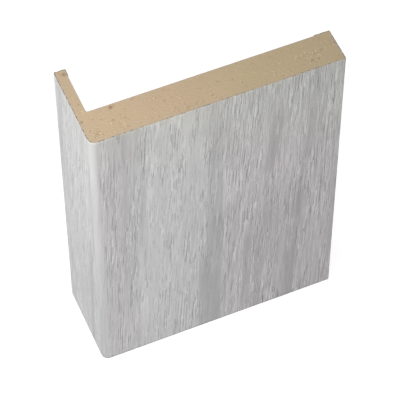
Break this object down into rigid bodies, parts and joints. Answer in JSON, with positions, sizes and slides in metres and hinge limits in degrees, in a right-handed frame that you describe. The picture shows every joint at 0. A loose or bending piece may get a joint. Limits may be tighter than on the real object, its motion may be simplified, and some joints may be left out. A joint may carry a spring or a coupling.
{
  "type": "architrave moulding",
  "caption": "Short length of L-section door architrave: a film-wrapped face board with a thin tongue along one edge, sawn square at its ends.",
  "frame": {"origin": "on the lower sawn end's plane, under the middle of the section's bounding box", "axes": "+Z along the moulding, up as it stands; +X across the face from the tongue's edge to the far edge; +Y from the face towards the wall, the way the tongue points"},
  "size_m": [0.07, 0.025, 0.1],
  "materials": {
    "fibreboard": "matte",
    "decorative_film": "satin"
  },
  "bodies": {
    "root": {"fibreboard_core": "fibreboard", "decorative_film": "decorative_film"}
  },
  "joints": []
}
